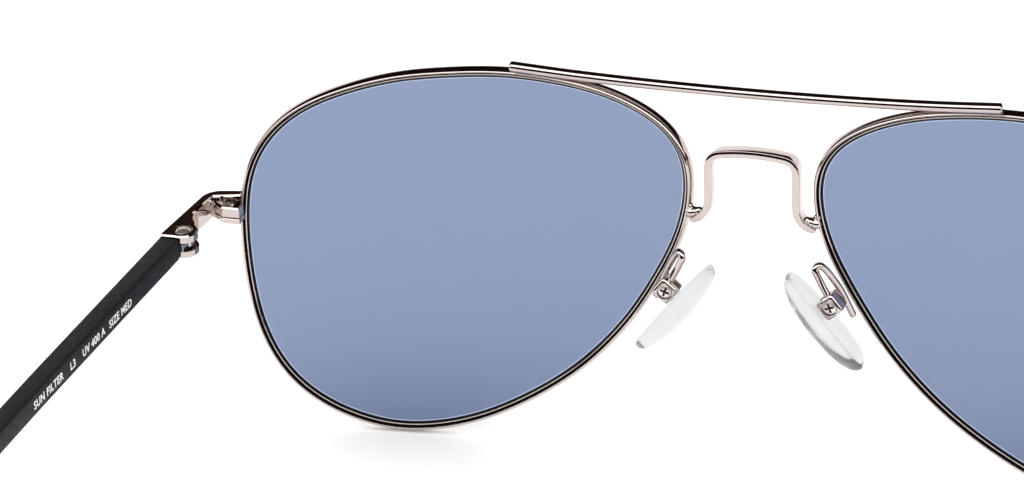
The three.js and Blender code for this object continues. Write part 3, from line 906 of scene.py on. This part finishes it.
def slotted_screw_shape(head, bottom, top, shank, foot, turn, x, y):
    """A domed screw on an upright axis. head and shank are radii, bottom and top the heights of
    the head, foot that of the shank's end, and turn the angle of the slot."""
    tall = top - bottom
    dome = tall * 0.8
    crown = [(head * math.sin(a), top - dome + dome * math.cos(a))
             for a in np.radians(np.arange(84, 3, -8))]
    profile = [(0, foot), (shank - 0.08, foot), (shank, foot + 0.1), (shank, bottom),
               (head - 0.1, bottom), (head, bottom + 0.1), (head, top - dome), *crown, (0, top)]
    half, depth = head * 0.11, tall * 0.4
    slot = block((-head * 1.3, -half, top - depth), (head * 1.3, half, top + 1))
    slot = slot.moved(lambda p: about_z(p, math.radians(turn)))
    return carved(lathe(profile), ("DIFFERENCE", slot)).moved(lambda p: p + (x, y, 0))


def temple_hinge_shape():
    """The middle knuckle, its neck and the plate against the sleeve's front end."""
    hinge_x, hinge_y, _ = HINGE
    knuckle = np.concatenate([
        [(69.9, 16.6), (68.3, 16.6)],
        arc(hinge_x, hinge_y, 1.25, 135, 360, 30),
        [(69.95, 15.4)],
    ])
    base = prism(knuckle, KNUCKLE_BOTTOM, KNUCKLE_TOP)
    plate = block((69.4, 16.5, 0.6), (70.7, 16.85, 2.45))
    bore = upright(hinge_x, hinge_y, HINGE_BORE, -FAR, FAR)
    return carved(base, ("UNION", plate), ("DIFFERENCE", bore))


# ------------------------------------------------------------------ temple

TEMPLE = [
    (70.05, 16.9, 1.52), (71.3, 38, 1.52), (72.55, 60.7, 1.5), (73.3, 81, 1.4),
    (73.3, 104, 0.6), (72.3, 119.5, -2.1), (70.9, 131.5, -7.2), (69.4, 142, -14.3),
    (68.7, 147, -18.45),
]
SLEEVE_WIDTH, SLEEVE_HEIGHT = 2.6, 2.9
CHANNEL_WIDTH, CHANNEL_HEIGHT = 1.4, 1.95
CORE_WIDTH, CORE_HEIGHT = 0.9, 1.4
LIP = 0.35  # how far the sleeve reaches over the hinge's plate
FRONT_ROUNDING = 0.3
FRONT_SHARE = 0.92
temple_line = smooth_route(TEMPLE, 620)


def first_part(line, share):
    return line[:int(len(line) * share)]


def level_across(line):
    """The level direction across a line at each of its points."""
    return unit(np.cross(directions(line), (0.0, 0.0, 1.0)))


def sleeve_shape():
    """A closed tip and an open front, with the core's channel inside."""
    section = round_rectangle(SLEEVE_WIDTH, SLEEVE_HEIGHT, 0.42)
    channel = round_rectangle(CHANNEL_WIDTH, CHANNEL_HEIGHT, 0.1)
    lead = temple_line[:1] - directions(temple_line)[:1] * LIP
    line, scales = round_ends(np.concatenate([lead, temple_line]), 1.3, first=False)
    front = np.clip(reach_along(line) / FRONT_ROUNDING, 0, 1)
    scales = scales * (FRONT_SHARE + (1 - FRONT_SHARE) * np.sqrt(1 - (1 - front) ** 2))
    width = len(section)
    outside = sweep(line, section, level_across(line), scales).points.reshape(-1, width, 3)
    inner_line = np.concatenate([lead, first_part(temple_line, 0.95)])
    inner = sweep(inner_line, channel, level_across(inner_line)).points.reshape(-1, width, 3)
    return capped(grid(np.concatenate([inner[::-1], outside])), width)


def core_shape():
    line = first_part(temple_line, 0.93)
    return sweep(line, round_rectangle(CORE_WIDTH, CORE_HEIGHT, 0.12, 3), level_across(line))


LETTER_HEIGHT = 1.0
LETTER_RISE = 0.02
LETTER_GAP = 0.012  # between the letters' middle and the sleeve
CAPITAL_SHARE = 0.7  # of the font's size
# Each row reads from the tip to the hinge on the left and the other way on the right:
# (words, distance behind the sleeve's front end at which they start).
WORDS = {
    "left": [("SIZE MED", 20.0), ("UV 400 A", 27.4), ("L3", 30.8), ("SUN FILTER", 40.6)],
    "right": [("SIZE MED", 13.0), ("UV 400 A", 20.5), ("R3", 28.2), ("SUN FILTER", 31.4)],
}


def print_shape(hand):
    """The printed words, as slightly raised letters on the sleeve's inner face."""
    reach = reach_along(temple_line)
    across = level_across(temple_line)
    lift = np.cross(across, directions(temple_line))
    parts = []
    for text, start in WORDS[hand]:
        curve = bpy.data.curves.new("words", "FONT")
        curve.body = text
        curve.size = LETTER_HEIGHT / CAPITAL_SHARE
        curve.extrude = LETTER_RISE
        curve.resolution_u = 3
        curve.offset = 0.025
        curve.space_character = 1.08
        made = bpy.data.objects.new("words", curve)
        bpy.context.scene.collection.objects.link(made)
        shape = taken_curve(made)
        x, y, z = shape.points.T
        where = start - x if hand == "left" else start + x
        middle, outward, upward = [read_off(where, reach, table)
                                   for table in (temple_line, across, lift)]
        inward = SLEEVE_WIDTH / 2 + LETTER_GAP + z
        rise = y - LETTER_HEIGHT / 2
        parts.append(Shape(middle - outward * inward[:, None] + upward * rise[:, None], shape.faces))
    return joined(*parts)


def taken_curve(made):
    """The mesh of a scratch curve as a Shape, its corners joined; the object is removed."""
    graph = bpy.context.evaluated_depsgraph_get()
    graph.update()
    mesh = bpy.data.meshes.new_from_object(made.evaluated_get(graph))
    work = bmesh.new()
    work.from_mesh(mesh)
    bmesh.ops.remove_doubles(work, verts=work.verts, dist=1e-5)
    points = [tuple(v.co) for v in work.verts]
    work.verts.index_update()
    faces = [tuple(v.index for v in f.verts) for f in work.faces]
    work.free()
    bpy.data.meshes.remove(mesh)
    bpy.data.objects.remove(made)
    return Shape(points, faces)


# ------------------------------------------------------------------ nose pads

PAD_ARM = [
    (12.4, 2.9, -6), (11.6, 3.2, -4.1), (10.85, 3.7, -2.2), (10.1, 4.25, -0.75), (9.2, 4.85, 0.75),
    (8.6, 5.3, 1.3), (8.2, 5.6, 0.85), (8.7, 5.55, -0.4), (9.25, 5.55, -1.5), (9.95, 5.6, -2.7),
]
PAD_ARM_RADIUS = 0.455
PAD_BOX_HALF = 1.25
PAD_BORE = 0.42
PAD_LENGTH, PAD_WIDTH, PAD_THICKNESS = 7.3, 3.35, 2.7  # half, half and whole
PAD_BACK_X = -1.6
PAD_DROP = 1.25
PAD_FORWARDS = 0.4
PAD_TURN = math.radians(6.0)  # the rear edges of the pads stand apart


def pad_wire_shape():
    """The looped wire from the rim to the pad box. Its section is carried along without twist."""
    line = smooth_route(PAD_ARM, 240)
    line, scales = round_ends(line, PAD_ARM_RADIUS, last=False)
    across = np.tile((0.0, 1.0, 0.0), (len(line), 1))
    along = directions(line)
    for k in range(1, len(line)):
        across[k] = across[k - 1] - along[k] * np.dot(across[k - 1], along[k])
        across[k] /= np.linalg.norm(across[k])
    return sweep(line, circle(PAD_ARM_RADIUS, 24), across, scales)


def lying(shape):
    """A shape that stood on Z laid along the pad screw's axis, its top towards the wearer."""
    return shape.moved(lambda p: p[:, [0, 2, 1]] * (1, 1, -1))


def pad_box_shape():
    """A cube with rounded edges, slotted for the pad's tongue and bored for its screw."""
    half = PAD_BOX_HALF
    outline = round_rectangle(2 * half, 2 * half, 0.35, 5)
    edge = [(0.30, half), (0.12, half - 0.05), (0.03, half - 0.14), (0, half - 0.3)]
    levels = [(inset, -height) for inset, height in edge] + edge[::-1]
    rings = [np.column_stack([outline * (1 - inset / half), np.full(len(outline), height)])
             for inset, height in levels]
    slot = block((-half - 1, -half - 1, -0.62), (0.87, half + 1, 0.62))
    recess = upright(0, 0, 0.98, 0.8, half + 1)
    bore = upright(0, 0, PAD_BORE, -half - 1, half + 1)
    return carved(lying(capped(grid(rings), len(outline))), ("DIFFERENCE", lying(slot)),
                  ("DIFFERENCE", lying(recess)), ("DIFFERENCE", lying(bore)))


def cross_screw_shape():
    """A low domed screw, with the faces of its cross-shaped recess coloured near black as painted
    shade.
    """
    profile = [(0, -1.15), (0.25, -1.15), (0.3, -1.1), (0.3, 0.85), (0.8, 0.85), (0.86, 0.9),
               (0.86, 1.06), (0.83, 1.12), (0.7, 1.18), (0.45, 1.22), (0.2, 1.235), (0, 1.235)]
    arm, floor = 0.60, 0.75
    bar = block((-arm, -0.14, floor), (arm, 0.14, 2))
    bars = [("DIFFERENCE", bar.moved(lambda p, a=turn: about_z(p, math.radians(a))))
            for turn in (20, 110)]
    made = carved(lathe(profile), *bars)
    # The recess faces are given material 1, the painted crevice shade.
    for k, face in enumerate(made.faces):
        x, y, z = made.points[list(face)].mean(0)
        made.kinds[k] = int(0.5 < z < 1.1 and math.hypot(x, y) < arm + 0.06)
    return lying(made)


def blunted(values, power):
    return np.sign(values) * np.abs(values) ** power


def nose_pad_shape():
    """A thick crowned oval: a nearly flat back, blunt ends and a full face towards the nose."""
    around = 64
    angles = np.arange(around) / around * 2 * math.pi
    end = blunted(np.cos(angles), 0.75)
    side = blunted(np.sin(angles), 0.6)
    taper = (0.97 - 0.09 * np.cos(angles)) / 1.03
    outline = np.stack([PAD_WIDTH * taper * side, PAD_LENGTH * end], 1)

    def skin(share, height):
        """A ring of the pad: a share of its outline at a height above its back."""
        flat = outline * share
        curl = 0.012 * flat[:, 1] ** 2 * height / PAD_THICKNESS
        cup = 0.015 * flat[:, 0] ** 2
        return np.stack([PAD_BACK_X - height + curl + cup, flat[:, 0], flat[:, 1]], 1)

    face = [(0.10, 2.70), (0.3, 2.68), (0.5, 2.62), (0.66, 2.50), (0.79, 2.30), (0.88, 2.05),
            (0.94, 1.75), (0.98, 1.38), (1.0, 1.0), (1.0, 0.65), (0.985, 0.38), (0.95, 0.18),
            (0.89, 0.06), (0.8, 0.0), (0.6, 0.0), (0.4, 0.0), (0.2, 0.0), (0.08, 0.0)]
    rings = np.stack([skin(share, height) for share, height in face])
    made = capped(grid(rings), around)
    made = made.moved(lambda p: about_x(p - (0, 0, PAD_DROP), -PAD_LEAN))
    return made.moved(lambda p: about_z(p, -PAD_TURN) - (0, PAD_FORWARDS, 0)).outward()


def pad_tongue_shape():
    """The tongue that the screw passes through, widening into the pad."""
    reach = 0.75
    root = [(-1.4, reach), (-1.9, 1.15), (-2.5, 1.7)]
    plan = np.concatenate([arc(0, 0, reach, -90, 90, 16), root, [(x, -y) for x, y in root[::-1]]])
    flat = prism(plan, -0.5, 0.5)
    bore = upright(0, 0, PAD_BORE, -2, 2)
    return carved(flat.moved(lambda p: p[:, [0, 2, 1]]), ("DIFFERENCE", lying(bore)))


# ------------------------------------------------------------------ assembly

def build_glasses():
    rim, lens = rim_shape(), lens_shape()
    wire, box, cross = pad_wire_shape(), pad_box_shape(), cross_screw_shape()
    pad = carved(nose_pad_shape(), ("UNION", pad_tongue_shape()))
    end, plate = end_piece_shape(), lock_plate_shape()
    hinge_screw = slotted_screw_shape(head=1.05, bottom=2.78, top=3.35, shank=0.55, foot=0.15,
                                      turn=35, x=HINGE[0], y=HINGE[1])
    lock_screw = slotted_screw_shape(head=0.7, bottom=2.24, top=2.78, shank=0.4, foot=0.6,
                                     turn=70, x=LOCK_SCREW[0], y=LOCK_SCREW[1])
    knuckle = temple_hinge_shape()
    sleeve, core = sleeve_shape(), core_shape()
    solder = solder_shape()

    add_piece("brow_bar", "frame", top_bar_shape(), in_front, 1, [NICKEL],
              ("top_bar",))
    add_piece("bridge_strip", "frame", bridge_shape(), in_front, 1, [NICKEL],
              ("bridge",))
    for side, hand in SIDES:
        temple, nose = f"{hand}_temple", f"{hand}_pad"
        add_piece(f"{hand}_rim_wire", "frame", rim, in_front, side, [NICKEL, PAINTED_CREVICE_SHADE],
                  (f"{hand}_rim",))
        add_piece(f"{hand}_lens_pane", "frame", lens, in_front, side, [GLASS, PAINTED_EDGE_SHADE, PAINTED_GLINT],
                  (f"{hand}_lens",))
        add_piece(f"{hand}_bridge_solder", "frame", solder, in_front, side, [NICKEL])
        add_piece(f"{hand}_pad_wire", "frame", wire, in_front, side, [NICKEL],
                  (f"{hand}_pad_arm",))
        add_piece(f"{hand}_pad_box", "frame", box, in_pad, side, [NICKEL],
                  sharp=30)
        add_piece(f"{hand}_pad_cross_screw", "frame", cross, in_pad, side, [STEEL, PAINTED_CREVICE_SHADE],
                  (f"{hand}_pad_screw",), bevel=0.03)
        add_piece(f"{hand}_clear_pad", nose, pad, in_pad, side, [SILICONE],
                  (f"{hand}_nose_pad",), sharp=60)
        add_piece(f"{hand}_end_strip", "frame", end, in_arms, side, [NICKEL],
                  (f"{hand}_end_piece",), sharp=12)
        add_piece(f"{hand}_lock_foot", "frame", plate, in_arms, side, [NICKEL],
                  (f"{hand}_rim_lock_plate",), sharp=12)
        add_piece(f"{hand}_lock_slot_screw", "frame", lock_screw, in_arms, side, [STEEL],
                  (f"{hand}_rim_lock_screw",), bevel=0.03)
        add_piece(f"{hand}_hinge_slot_screw", "frame", hinge_screw, in_arms, side, [STEEL],
                  (f"{hand}_hinge_screw",), bevel=0.03)
        add_piece(f"{hand}_hinge_knuckle", temple, knuckle, in_arms, side, [NICKEL],
                  (f"{hand}_temple_hinge",), bevel=0.07)
        add_piece(f"{hand}_core_bar", temple, core, in_arms, side, [CORE],
                  (f"{hand}_temple_core",))
        add_piece(f"{hand}_sleeve_skin", temple, sleeve, in_arms, side, [SLEEVE],
                  (f"{hand}_temple_sleeve",), sharp=50)
        add_piece(f"{hand}_sleeve_print", temple, print_shape(hand), in_arms, side, [INK])


add_camera()
add_world()
add_floor()
build_glasses()
bpy.context.scene.view_settings.view_transform = "Standard"
